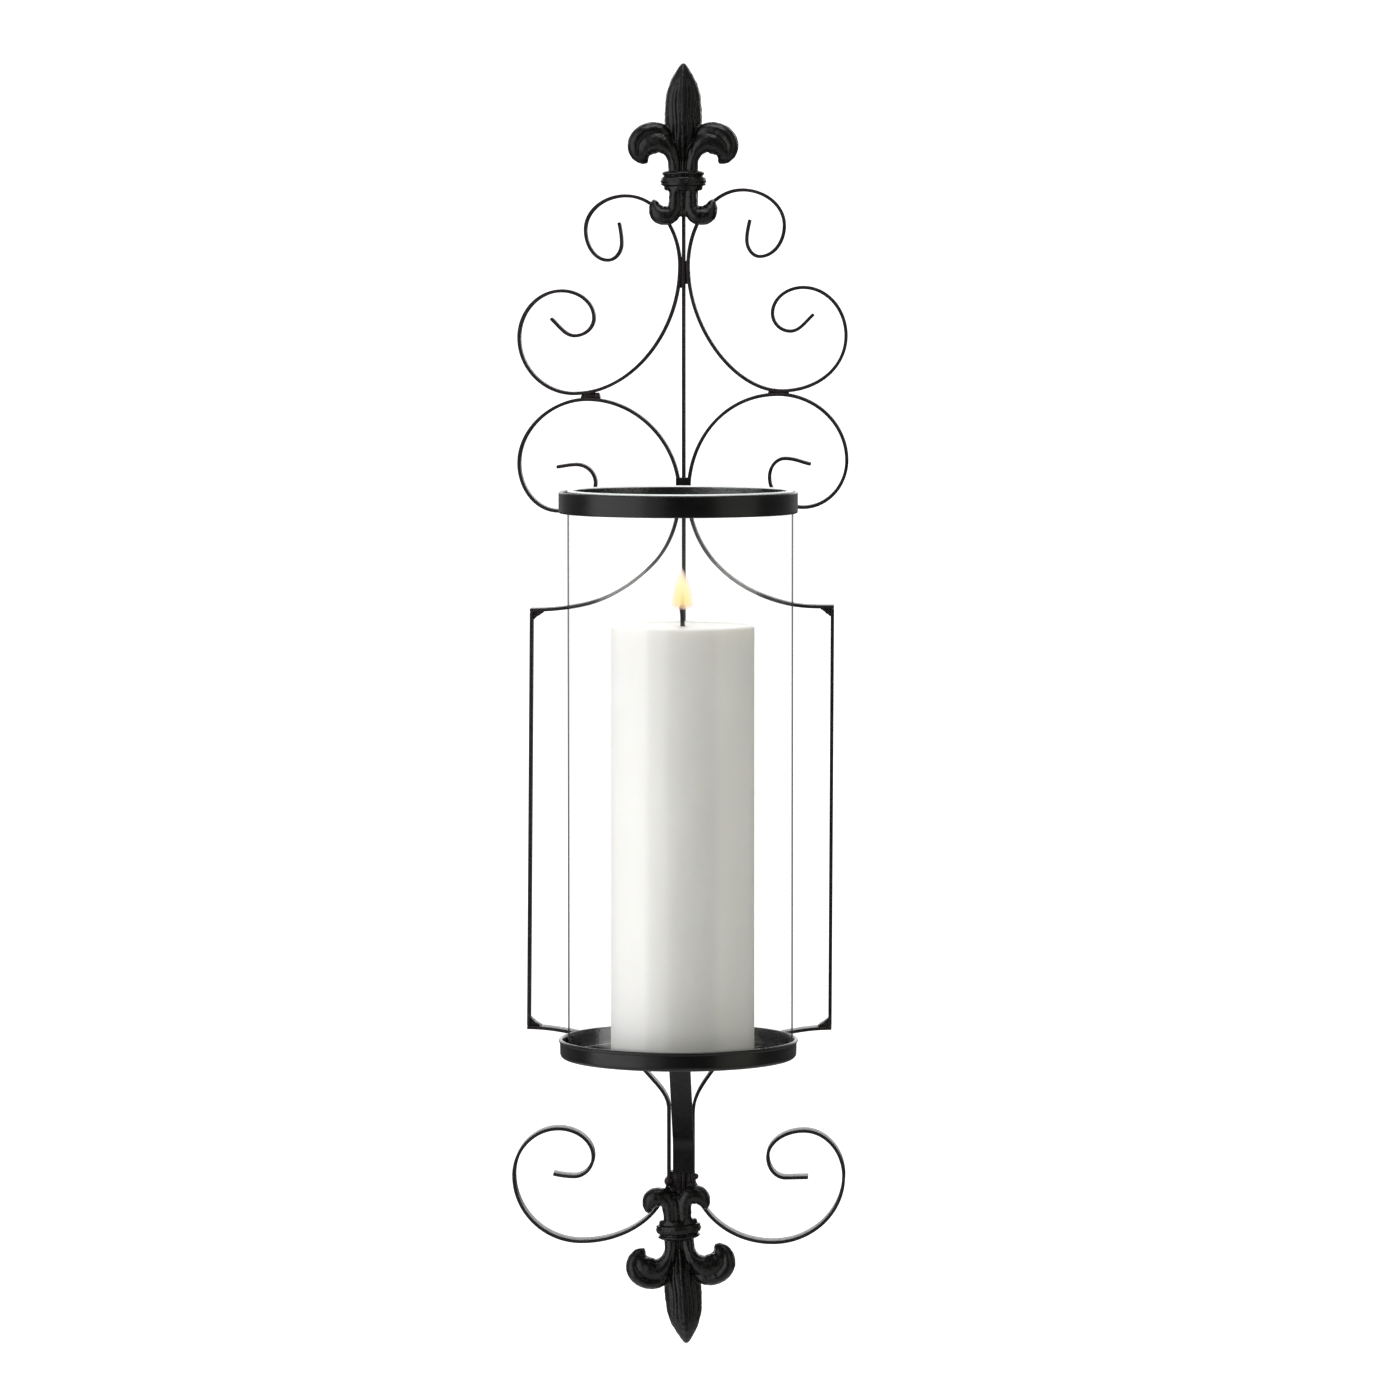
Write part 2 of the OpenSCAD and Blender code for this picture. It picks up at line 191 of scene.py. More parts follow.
class Shader:
    """One material's node tree, with short ways to add the nodes that its look needs."""

    def __init__(self, name, **sockets):
        self.material = bpy.data.materials.new(name)
        self.material.use_nodes = True
        self.tree = self.material.node_tree
        self.surface = self.tree.nodes["Principled BSDF"]
        self.output = self.tree.nodes["Material Output"]
        self.where = self.add("ShaderNodeTexCoord")
        for key, value in sockets.items():
            self.surface.inputs[key.replace("_", " ")].default_value = value

    def add(self, kind, **values):
        node = self.tree.nodes.new(kind)
        for key, value in values.items():
            setattr(node, key, value)
        return node

    def link(self, source, target):
        self.tree.links.new(source, target)

    def noise(self, per_metre, detail=4.0, rough=0.55, stretch=(1, 1, 1)):
        """Noise at so many features a metre, stretched along the object's own axes."""
        node = self.add("ShaderNodeTexNoise")
        node.inputs["Scale"].default_value = per_metre
        node.inputs["Detail"].default_value = detail
        node.inputs["Roughness"].default_value = rough
        mapping = self.add("ShaderNodeMapping")
        mapping.inputs["Scale"].default_value = stretch
        self.link(self.where.outputs["Object"], mapping.inputs["Vector"])
        self.link(mapping.outputs["Vector"], node.inputs["Vector"])
        return node.outputs["Fac"]

    def ramp(self, source, *stops):
        """Colours or greys against a value. Each stop is (position, colour or grey)."""
        node = self.add("ShaderNodeValToRGB")
        fill_ramp(node, stops)
        self.link(source, node.inputs["Fac"])
        return node.outputs["Color"]

    def rise(self, foot, tip):
        """Height in the object, from 0 at foot to 1 at tip."""
        split = self.add("ShaderNodeSeparateXYZ")
        span = self.add("ShaderNodeMapRange")
        span.inputs["From Min"].default_value = foot
        span.inputs["From Max"].default_value = tip
        self.link(self.where.outputs["Object"], split.inputs["Vector"])
        self.link(split.outputs["Z"], span.inputs["Value"])
        return span.outputs["Result"]

    def colour(self, source):
        self.link(source, self.surface.inputs["Base Color"])

    def roughness(self, source):
        self.link(source, self.surface.inputs["Roughness"])

    def bump(self, *layers):
        """Bump of several heights. Each layer is (value, depth in metres)."""
        normal = None
        for value, depth in layers:
            node = self.add("ShaderNodeBump")
            node.inputs["Strength"].default_value = 1
            node.inputs["Distance"].default_value = depth
            self.link(value, node.inputs["Height"])
            if normal is not None:
                self.link(normal, node.inputs["Normal"])
            normal = node.outputs["Normal"]
        self.link(normal, self.surface.inputs["Normal"])

    def see_through(self, front, share, tint=None):
        """Mixes a share of the front shader with what lies behind it, seen through a tint."""
        clear = self.add("ShaderNodeBsdfTransparent")
        mix = self.add("ShaderNodeMixShader")
        if tint is not None:
            self.link(tint, clear.inputs["Color"])
        if isinstance(share, float):
            mix.inputs["Fac"].default_value = share
        else:
            self.link(share, mix.inputs["Fac"])
        self.link(clear.outputs["BSDF"], mix.inputs[1])
        self.link(front, mix.inputs[2])
        self.link(mix.outputs["Shader"], self.output.inputs["Surface"])


def floor_material():
    """Matt off-white paper."""
    shader = Shader("floor_paper", Roughness=0.9)
    shader.colour(shader.ramp(shader.noise(3), (0.3, 0.86), (0.7, 0.88)))
    return shader.material


def bar_paint():
    """Black paint on bent flat bar: rubbed a little brown where it is thin."""
    shader = Shader("bar_paint", Specular_IOR_Level=0.22)
    shader.colour(shader.ramp(
        shader.noise(160, 5), (0.35, (0.011, 0.0088, 0.0089)), (0.72, (0.026, 0.0200, 0.0205))))
    shader.roughness(shader.ramp(shader.noise(500), (0.3, 0.34), (0.7, 0.46)))
    shader.bump((shader.noise(700, 3), 0.000012), (shader.noise(120), 0.00006))
    return shader.material


def casting_paint():
    """Black paint over a sand casting: grainy, its darkness and roughness changing at random."""
    shader = Shader("casting_paint", Specular_IOR_Level=0.26)
    shader.colour(shader.ramp(
        shader.noise(350, 6), (0.3, (0.0018, 0.0018, 0.0018)), (0.75, (0.0045, 0.0043, 0.0042))))
    shader.roughness(shader.ramp(shader.noise(420), (0.3, 0.24), (0.75, 0.40)))
    shader.bump((shader.noise(1300, 3, 0.6), 0.00003), (shader.noise(380, 4), 0.00012))
    return shader.material


def plate_paint():
    """Black satin paint on cut plate and the pan's bracket."""
    shader = Shader("plate_paint", Specular_IOR_Level=0.2)
    shader.colour(shader.ramp(
        shader.noise(300, 4), (0.3, (0.0025, 0.0024, 0.0024)), (0.7, (0.0065, 0.0060, 0.0058))))
    shader.roughness(shader.ramp(shader.noise(350), (0.3, 0.32), (0.7, 0.44)))
    shader.bump((shader.noise(900, 3), 0.000015), (shader.noise(150), 0.00006))
    return shader.material


def sheet_paint():
    """Black enamel on rolled band and pressed sheet, semi-gloss with a faint orange peel."""
    shader = Shader("sheet_paint", Specular_IOR_Level=0.28)
    shader.colour(shader.ramp(
        shader.noise(120, 5), (0.3, (0.0022, 0.0022, 0.0023)), (0.75, (0.0048, 0.0046, 0.0047))))
    shader.roughness(shader.ramp(shader.noise(60, 4, 0.5, (1, 1, 6)), (0.3, 0.24), (0.75, 0.34)))
    shader.bump((shader.noise(700, 2), 0.000006), (shader.noise(60, 2), 0.00004))
    return shader.material


# Roughness of the glass as a mirror, which softens the softboxes' edges
GLASS_BLUR = 0.2
# How steeply the glass turns into a mirror towards grazing
GRAZING_POWER = 9


def clear_glass(name, mirrors, limb_mirrors, limb_shade):
    """Clear drawn glass. It mirrors one share of the room face on and another edge on, where a
    grey tint on what shows through is painted shade along its edges."""
    shader = Shader(name)
    mirror = shader.add("ShaderNodeBsdfGlossy")
    mirror.inputs["Roughness"].default_value = GLASS_BLUR
    edge = shader.add("ShaderNodeLayerWeight")
    edge.inputs["Blend"].default_value = 0.5
    grazing = shader.add("ShaderNodeMath", operation="POWER")
    grazing.inputs[1].default_value = GRAZING_POWER
    share = shader.add("ShaderNodeMapRange")
    share.inputs["To Min"].default_value = mirrors
    share.inputs["To Max"].default_value = limb_mirrors
    shader.link(edge.outputs["Facing"], grazing.inputs[0])
    shader.link(grazing.outputs["Value"], share.inputs["Value"])
    # Painted shade: edge on, what lies behind is seen through a grey, darkening the glass's edges
    tint = shader.ramp(
        edge.outputs["Facing"], (0.0, WHITE), (0.80, (0.995, 1, 0.998)), (0.86, limb_shade))
    shader.see_through(mirror.outputs["BSDF"], share.outputs["Result"], tint)
    return shader.material


def rim_painted_highlight():
    """The melted rim of the tube, painted pale as a highlight where it gathers light, which shows
    as a pale line.
    """
    shader = Shader("rim_painted_highlight", Roughness=0.15)
    # The pale colour is a painted highlight where the rim catches light
    shader.colour(shader.ramp(
        shader.noise(90), (0.3, (0.80, 0.86, 0.84)), (0.7, (0.92, 0.95, 0.94))))
    shader.see_through(shader.surface.outputs["BSDF"], 0.85)
    return shader.material


def wax():
    """Off-white pillar wax: light goes a little way in, with faint mottling."""
    shader = Shader("wax", Subsurface_Weight=0.6, Subsurface_Scale=0.006, Roughness=0.42)
    shader.surface.inputs["Subsurface Radius"].default_value = (1.0, 0.85, 0.65)
    shader.colour(shader.ramp(
        shader.noise(45, 5, 0.6, (1, 1, 0.35)), (0.3, (0.79, 0.785, 0.755)),
        (0.7, (0.85, 0.845, 0.815))))
    shader.roughness(shader.ramp(shader.noise(220), (0.3, 0.38), (0.7, 0.5)))
    shader.bump((shader.noise(300, 4), 0.00006), (shader.noise(40, 3), 0.0004))
    return shader.material


def wick_cotton():
    """Burnt braid: brown with wax at its foot, then charred black, with a dull red tip that is
    painted glow.
    """
    shader = Shader("wick_cotton", Roughness=0.8)
    # The dull red at the tip is painted glow of the burning end
    shader.colour(shader.ramp(
        shader.rise(WAX_TOP, WICK_TIP), (0.0, (0.10, 0.075, 0.05)), (0.25, (0.012, 0.010, 0.009)),
        (0.9, (0.008, 0.0075, 0.007)), (1.0, (0.16, 0.03, 0.008))))
    shader.bump((shader.noise(2500, 4), 0.0001))
    return shader.material


def flame_glow(name, share, *stops):
    """Glowing gas that covers a share of what is behind it. Stops are colours upwards."""
    shader = Shader(name)
    glow = shader.add("ShaderNodeEmission")
    glow.inputs["Strength"].default_value = FLAME_STRENGTH
    foot = WAX_TOP + FLAME_FOOT
    shader.link(shader.ramp(shader.rise(foot, foot + FLAME_TALL), *stops), glow.inputs["Color"])
    shader.see_through(glow.outputs["Emission"], share)
    return shader.material


# ---------------------------------------------------------------- mesh helpers

# A straight is long when it is longer than this many gaps
LONG_RUN = 4


def make_object(name, shape, material, smooth_below=None):
    """An object from a bmesh in metres. Edges sharper than smooth_below degrees stay sharp."""
    shape.normal_update()
    bmesh.ops.recalc_face_normals(shape, faces=shape.faces)
    data = bpy.data.meshes.new(name)
    shape.to_mesh(data)
    shape.free()
    data.materials.append(material)
    if smooth_below is not None:
        data.shade_smooth()
        data.set_sharp_from_angle(angle=math.radians(smooth_below))
    made = bpy.data.objects.new(name, data)
    bpy.context.scene.collection.objects.link(made)
    return made


def put(piece, body, slot, *nodes):
    """Hangs a finished piece on its body, in place of the named CAD nodes. The slot is not used.
    """
    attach(piece, body)
    if nodes:
        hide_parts(*nodes)


def join_rings(shape, rings, around=True, along=False):
    """Faces between rows of vertices. around closes each row, and along joins last to first."""
    rows = rings + [rings[0]] if along else rings
    for low, high in zip(rows, rows[1:]):
        count = len(low)
        for i in range(count if around else count - 1):
            j = (i + 1) % count
            shape.faces.new((low[i], low[j], high[j], high[i]))


def close_ends(shape, rings):
    """Flat caps on the first and the last ring."""
    shape.faces.new(rings[0])
    shape.faces.new(rings[-1])


def lathe(shape, profile, centre, segments):
    """Turns a closed profile of (radius, height) in metres about the vertical through centre."""
    rings = []
    for k in range(segments):
        turn = 2 * math.pi * k / segments
        rings.append([
            shape.verts.new((
                centre.x + r * math.cos(turn), centre.y + r * math.sin(turn), centre.z + up))
            for r, up in profile
        ])
    join_rings(shape, rings, around=True, along=True)


def held(profile, gap):
    """The profile with a point a gap from both ends of each long straight, so it shades flat."""
    points = []
    for a, b in zip(profile, profile[1:] + profile[:1]):
        start, run = Vector(a), Vector(b) - Vector(a)
        points.append(a)
        if run.length > LONG_RUN * gap:
            step = run.normalized() * gap
            points += [tuple(start + step), tuple(start + run - step)]
    return points


def arc(middle, radius, first, last, steps):
    """Points of an arc, in degrees, as (across, up)."""
    points = []
    for k in range(steps + 1):
        turn = math.radians(first + (last - first) * k / steps)
        points.append((middle[0] + radius * math.cos(turn), middle[1] + radius * math.sin(turn)))
    return points


def spline(points, finer):
    """A smooth line through the points, with so many finer steps between each two."""
    ends = [2 * points[0] - points[1], *points, 2 * points[-1] - points[-2]]
    line = []
    for before, a, b, after in zip(ends, ends[1:], ends[2:], ends[3:]):
        for k in range(finer):
            t = k / finer
            line.append(0.5 * (
                2 * a + (b - before) * t + (2 * before - 5 * a + 4 * b - after) * t * t
                + (3 * a - before - 3 * b + after) * t ** 3))
    return [*line, points[-1]]


# ---------------------------------------------------------------- flat bar

# Radius of a bar's rolled edges, and the steps round each
BAR_EDGE = 0.28 * MM
EDGE_STEPS = 3
# Steps that the sweep takes for each of the outline's own, and its longest step on a straight
BAR_FINER = 3
LONGEST_STEP = 8 * MM
# Points of a mesh nearer than this are one point
SAME_POINT = 1e-6


def front_outline(node):
    """Outline of a bar's front face in the order it runs, as (x, z) in metres."""
    shape = bmesh.new()
    shape.from_mesh(node.data)
    bmesh.ops.remove_doubles(shape, verts=shape.verts, dist=SAME_POINT)
    front = min(v.co.y for v in shape.verts)
    flat = {f for f in shape.faces if all(abs(v.co.y - front) < SAME_POINT for v in f.verts)}
    rim = [e for e in shape.edges if len(flat.intersection(e.link_faces)) == 1]
    beside = {}
    for edge in rim:
        a, b = edge.verts
        beside.setdefault(a, []).append(b)
        beside.setdefault(b, []).append(a)
    start = rim[0].verts[0]
    order, last, here = [start], start, beside[start][0]
    while here is not start:
        order.append(here)
        a, b = beside[here]
        last, here = here, (b if a is last else a)
    points = [Vector((v.co.x, v.co.z)) for v in order]
    shape.free()
    return points


def centre_line(node):
    """A bar's centre line and its thickness, from the outline of its front face."""
    points = front_outline(node)
    count = len(points)

    def turn(i):
        """How far the outline turns at a point."""
        before = points[i] - points[i - 1]
        after = points[(i + 1) % count] - points[i]
        return abs(before.angle_signed(after))

    sharp = math.radians(60)
    ends = [i for i in range(count) if turn(i) > sharp and turn((i + 1) % count) > sharp]
    ends.sort(key=lambda i: (points[(i + 1) % count] - points[i]).length)
    first, second = ends[:2]
    thickness = (points[(first + 1) % count] - points[first]).length
    along = (second - first) % count
    line = [
        (points[(first + 1 + k) % count] + points[(first - k) % count]) / 2
        for k in range(along)
    ]
    return line, thickness


def rounded_section(half_thick, front, back, edge):
    """Section of a flat bar with rolled edges, as (sideways, depth)."""
    corners = (
        (half_thick - edge, back - edge, 0),
        (-half_thick + edge, back - edge, 90),
        (-half_thick + edge, front + edge, 180),
        (half_thick - edge, front + edge, 270),
    )
    section = []
    for across, depth, first in corners:
        section += arc((across, depth), edge, first, first + 90, EDGE_STEPS)
    return section


def flat_bar(name, material):
    """Sweeps a rolled-edge section along the CAD bar's centre line, in place of the bar."""
    line, thickness = centre_line(NODES[name])
    low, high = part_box(name)
    finer = BAR_FINER
    if len(line) == 2:
        finer = max(2, math.ceil((line[1] - line[0]).length / LONGEST_STEP))
    line = spline(line, finer)
    section = rounded_section(thickness / 2, low.y, high.y, BAR_EDGE)
    middle = (low.y + high.y) / 2
    shape = bmesh.new()
    rings = []
    last = len(line) - 1

    def ring(i, past=0.0, shrink=0.0):
        """The section at a point of the line, moved past it and shrunk on all sides."""
        ahead = (line[min(i + 1, last)] - line[max(i - 1, 0)]).normalized()
        side = Vector((-ahead.y, ahead.x))
        here = line[i] + ahead * past
        kept = 1 - shrink / (thickness / 2)
        deep = 1 - shrink / ((high.y - low.y) / 2)
        return [
            shape.verts.new((
                here.x + side.x * across * kept,
                middle + (depth - middle) * deep,
                here.y + side.y * across * kept,
            ))
            for across, depth in section
        ]

    rings.append(ring(0, shrink=BAR_EDGE))
    rings.append(ring(0, past=BAR_EDGE))
    rings += [ring(i) for i in range(1, last)]
    rings.append(ring(last, past=-BAR_EDGE))
    rings.append(ring(last, shrink=BAR_EDGE))
    join_rings(shape, rings)
    close_ends(shape, rings)
    put(make_object(name + "_bar", shape, material, smooth_below=35), "frame", "bar_paint", name)


# ---------------------------------------------------------------- finials

# A finial is drawn in millimetres: across, up from its collar's centre, and out from its back.
# The petal's edge is up and half width.
PETAL_EDGE = (
    (2.0, 2.6), (5.0, 3.6), (9.0, 4.9), (14.0, 6.4), (19.0, 7.4), (24.0, 8.0), (28.0, 8.0),
    (33.0, 7.75), (36.2, 7.4), (39.6, 6.5), (42.4, 5.3), (44.8, 4.0), (46.6, 2.9), (48.0, 2.0),
    (48.9, 1.3), (49.4, 0.6),
)
# Half the petal's greatest width, its depth, and how far it starts behind the casting's back
PETAL_HALF = 8.0
PETAL_DEPTH = 8.6
PETAL_BACK = 1.5
PETAL_COLUMNS = 28
# How much of the petal's depth slopes straight up to its ridge, and how much is rounded
RIDGE_SHARE, ROUND_SHARE = 0.28, 0.72
# Heights between which the petal is carved, and half the height of the grooved collar
PETAL_FOOT, PETAL_TIP = 4, 49
COLLAR_HALF = 4.6
# Centre lines of the solid parts. Each point is across, up, out, half width, half depth.
LOBE_BODY = (
    (3.2, 1.5, 2.6, 2.8, 3.4), (3.4, 5.5, 3.2, 2.9, 4.1), (3.9, 9.4, 3.7, 2.9, 4.6),
    (5.9, 13.5, 4.1, 3.6, 5.1), (10.2, 16.5, 4.2, 4.9, 5.4), (15.2, 15.1, 4.0, 5.0, 5.2),
    (17.3, 11.4, 3.4, 3.9, 4.5), (16.6, 9.0, 2.8, 2.6, 3.5), (15.7, 7.9, 2.4, 1.4, 2.4),
)
LOBE_RIM = (
    (5.6, 17.7, 3.0, 2.2, 3.2), (9.1, 20.9, 3.7, 3.1, 4.5), (13.5, 21.5, 4.1, 3.2, 5.0),
    (17.7, 19.8, 4.2, 3.2, 5.2), (20.1, 16.2, 4.1, 3.3, 5.0), (19.7, 12.0, 3.5, 3.1, 4.4),
    (17.7, 9.5, 3.0, 2.5, 3.6), (16.2, 8.3, 2.5, 1.5, 2.5),
)
STEM = (
    (0.0, -3.0, 2.4, 2.8, 3.9), (0.0, -8.0, 2.8, 2.8, 4.2), (0.0, -12.0, 3.0, 2.8, 4.2),
    (0.0, -14.4, 2.8, 2.0, 3.0),
)
FOOT = (
    (3.1, -3.4, 2.8, 2.9, 4.0), (3.2, -8.0, 3.2, 2.9, 4.4), (3.6, -12.0, 3.5, 3.4, 4.8),
    (6.0, -14.6, 3.6, 3.9, 5.0), (9.9, -14.0, 3.5, 4.2, 4.9), (11.8, -11.2, 3.1, 2.9, 4.1),
    (12.3, -8.7, 2.7, 1.5, 2.8),
)
# Profile of the collar, as (radius, up), and how deep it is for its width
COLLAR = (
    (0.0, -4.4), (7.4, -4.2), (8.0, -3.7), (8.3, -3.1), (8.2, -2.7), (9.2, -2.2), (9.7, -1.4),
    (9.5, -0.8), (9.9, -0.3), (9.9, 0.3), (9.4, 0.8), (9.3, 1.4), (8.5, 1.9), (8.2, 2.2),
    (8.9, 2.6), (9.1, 3.1), (8.8, 3.6), (7.6, 4.1), (0.0, 4.3),
)
COLLAR_FLAT = 0.98
# Grooves cut round the collar, as (height, depth)
COLLAR_GROOVES = ((2.0, 0.42), (0.3, 0.24), (-1.1, 0.26), (-2.6, 0.4))
# Grid that the casting is drawn on
REMESH_STEP = 0.38 * MM
# How far from the ridge each flute of the middle petal lies, as a share of its half width
FLUTES = (0.28, 0.6)
# Where the lower finial's collar is, as (across, up), and how far its casting leans
LOWER_COLLAR = (-2.1 * MM, -449.2 * MM)
LOWER_LEAN = math.radians(4)


def blob_chain(shape, chain, mirror, sides=20, finer=5):
    """A swept solid whose oval section follows the chain, with rounded ends."""
    line = spline([np.array(point, float) for point in chain], finer)
    last = len(line) - 1
    rings = []
    for i, (across, up, out, wide, deep) in enumerate(line):
        ahead = line[min(i + 1, last)][:2] - line[max(i - 1, 0)][:2]
        ahead = ahead / np.linalg.norm(ahead)
        side = (-ahead[1], ahead[0])
        ring = []
        for k in range(sides):
            turn = 2 * math.pi * k / sides
            reach = wide * math.cos(turn)
            ring.append(shape.verts.new((
                mirror * (across + side[0] * reach) * MM, -(out + deep * math.sin(turn)) * MM,
                (up + side[1] * reach) * MM)))
        rings.append(ring)
    join_rings(shape, rings)
    for end, neighbour in ((0, 1), (last, last - 1)):
        here, inner = line[end], line[neighbour]
        push = (here[:2] - inner[:2]) / np.linalg.norm(here[:2] - inner[:2]) * here[3] * 0.7
        cap = shape.verts.new((
            mirror * (here[0] + push[0]) * MM, -here[2] * MM, (here[1] + push[1]) * MM))
        ring = rings[end]
        for k in range(sides):
            shape.faces.new((ring[k], ring[(k + 1) % sides], cap))


def petal_solid(shape):
    """The middle petal: a leaf with a sharp ridge, thickest a third of the way up."""
    edge = spline([np.array(point, float) for point in PETAL_EDGE], 5)
    rings = []
    for up, half in edge:
        depth = PETAL_DEPTH * min(1.0, (half / PETAL_HALF) ** 0.55)
        ring = []
        for k in range(PETAL_COLUMNS + 1):
            share = -1 + 2 * k / PETAL_COLUMNS
            round_part = math.sqrt(max(0.0, 1 - abs(share) ** 2.6))
            out = depth * (ROUND_SHARE * round_part + RIDGE_SHARE * (1 - abs(share)))
            ring.append(shape.verts.new((half * share * MM, -out * MM, up * MM)))
        for back in (0.9 * half, -0.9 * half):
            ring.append(shape.verts.new((back * MM, PETAL_BACK * MM, up * MM)))
        rings.append(ring)
    join_rings(shape, rings)
    close_ends(shape, rings)


def collar_solid(shape):
    """Turned bands across the neck, a little flatter than round."""
    steps, pinhole = 48, 0.01
    rings = []
    for k in range(steps):
        turn = 2 * math.pi * k / steps
        ring = []
        for radius, up in COLLAR:
            reach = (radius + pinhole) * MM
            ring.append(shape.verts.new((
                reach * math.cos(turn), -reach * COLLAR_FLAT * math.sin(turn), up * MM)))
        rings.append(ring)
    join_rings(shape, rings, around=False, along=True)
    for end in (0, -1):
        shape.faces.new([ring[end] for ring in rings])


def remeshed(shape, step):
    """One skin round overlapping solids, on a fine grid, as a bmesh."""
    data = bpy.data.meshes.new("rough")
    bmesh.ops.recalc_face_normals(shape, faces=shape.faces)
    shape.to_mesh(data)
    shape.free()
    rough = bpy.data.objects.new("rough", data)
    bpy.context.scene.collection.objects.link(rough)
    modifier = rough.modifiers.new("skin", "REMESH")
    modifier.mode = "VOXEL"
    modifier.voxel_size = step
    bpy.context.view_layer.update()
    skin = bpy.data.meshes.new_from_object(
        rough.evaluated_get(bpy.context.evaluated_depsgraph_get()))
    bpy.data.objects.remove(rough)
    result = bmesh.new()
    result.from_mesh(skin)
    bpy.data.meshes.remove(skin)
    return result


def bump_at(value, middle, spread):
    """A smooth hump of height 1 over the middle."""
    return math.exp(-((value - middle) / spread) ** 2)


def petal_half_width(up):
    """Half the petal's width at a height."""
    ups = [point[0] for point in PETAL_EDGE]
    halves = [point[1] for point in PETAL_EDGE]
    return float(np.interp(up, ups, halves))


def carve(vert):
    """How far the carver's tool brings a point of the casting out, and how far the collar's
    grooves and the sand's grain move it along its normal, both in millimetres."""
    across, out, up = vert.co.x / MM, -vert.co.y / MM, vert.co.z / MM
    facing = max(0.0, -vert.normal.y)
    change = 0.0
    if PETAL_FOOT < up < PETAL_TIP and out > 1:
        half = petal_half_width(up)
        share = abs(across) / half
        if share < 1.05 and (up > 21 or share < 0.8):
            fade = min(1.0, (up - PETAL_FOOT) / 10) * min(1.0, (PETAL_TIP - up) / 12)
            ridge = min(1.0, (PETAL_TIP - up) / 5)
            change += 0.85 * ridge * bump_at(across, 0, 0.75)
            wander = 0.25 * math.sin(up * 0.35 + (1 if across > 0 else 2.6))
            for flute in FLUTES:
                change -= 0.75 * fade * bump_at(share * half, (flute * half + wander), 0.85)
    grain = 0.0
    if abs(up) < COLLAR_HALF:
        for height, depth in COLLAR_GROOVES:
            grain -= depth * bump_at(up, height, 0.42)
    grain += 0.16 * noise.noise(Vector((across, up, out)) * 0.55)
    grain += 0.07 * noise.noise(Vector((across, up, out)) * 1.7)
    return change * facing, grain


def cast_finial():
    """Both finials are this one casting, in its own frame with its back at y = 0."""
    shape = bmesh.new()
    petal_solid(shape)
    collar_solid(shape)
    blob_chain(shape, STEM, 1)
    for mirror in (-1, 1):
        for chain in (LOBE_BODY, LOBE_RIM, FOOT):
            blob_chain(shape, chain, mirror)
    shape = remeshed(shape, REMESH_STEP)
    for _ in range(2):
        bmesh.ops.smooth_vert(
            shape, verts=shape.verts, factor=0.5,
            use_axis_x=True, use_axis_y=True, use_axis_z=True)
    shape.normal_update()
    moves = [carve(vert) for vert in shape.verts]
    for vert, (out, grain) in zip(shape.verts, moves):
        vert.co += Vector((0, -out * MM, 0)) + vert.normal * grain * MM
    cut = bmesh.ops.bisect_plane(
        shape, geom=[*shape.verts, *shape.edges, *shape.faces],
        plane_co=(0, 0, 0), plane_no=(0, 1, 0), clear_outer=True)
    rim = [e for e in cut["geom_cut"] if isinstance(e, bmesh.types.BMEdge)]
    bmesh.ops.triangle_fill(shape, edges=rim, use_beauty=True)
    return shape


def place_finial(name, casting, node, material, collar, lean):
    """A copy of the casting at a collar's centre, turned about the depth axis by lean."""
    shape = casting.copy()
    matrix = Matrix.Translation(collar) @ Matrix.Rotation(lean, 4, "Y")
    bmesh.ops.transform(shape, matrix=matrix, verts=shape.verts)
    put(make_object(name, shape, material, smooth_below=50), "frame", "casting", node)


def finials(material):
    """The upper casting stands on its feet. The lower one hangs, and leans a little."""
    casting = cast_finial()
    bar_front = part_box("centre_bar")[0].y
    top_low, top_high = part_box("top_finial")
    tip = PETAL_EDGE[-1][0] * MM + 0.1 * MM
    place_finial(
        "upper_finial", casting, "top_finial", material,
        Vector(((top_low.x + top_high.x) / 2, bar_front, top_high.z - tip)), 0.0)
    place_finial(
        "lower_finial", casting, "bottom_finial", material,
        Vector((LOWER_COLLAR[0], bar_front, LOWER_COLLAR[1])), math.pi - LOWER_LEAN)
    casting.free()


# ---------------------------------------------------------------- plates and welds

# Width of a plate's rounded edges, and the grid that weld metal is drawn on
PLATE_EDGE = 0.3 * MM
WELD_STEP = 0.3 * MM
# Extra lumps of weld round the lower finial's top, as across, up and radius in millimetres
BASE_LUMPS = (
    (-6.3, -429, 2.0), (-4.6, -433, 2.2), (-1.6, -434, 2.2), (1.6, -433.6, 2.2), (4.4, -431, 1.5),
    (5.0, -427, 1.2),
)


def dress_cad(name, material):
    """Gives a CAD node that stays its paint and softly rounded edges."""
    node = NODES[name]
    node.data.materials.clear()
    node.data.materials.append(material)
    weld = node.modifiers.new("weld", "WELD")
    weld.merge_threshold = SAME_POINT
    flatten = node.modifiers.new("flatten", "DECIMATE")
    flatten.decimate_type = "DISSOLVE"
    flatten.angle_limit = math.radians(1)
    bevel = node.modifiers.new("edges", "BEVEL")
    bevel.width = PLATE_EDGE
    bevel.segments = 3
    bevel.limit_method = "ANGLE"
    bevel.angle_limit = math.radians(35)
    normals = node.modifiers.new("normals", "WEIGHTED_NORMAL")
    normals.weight = 100


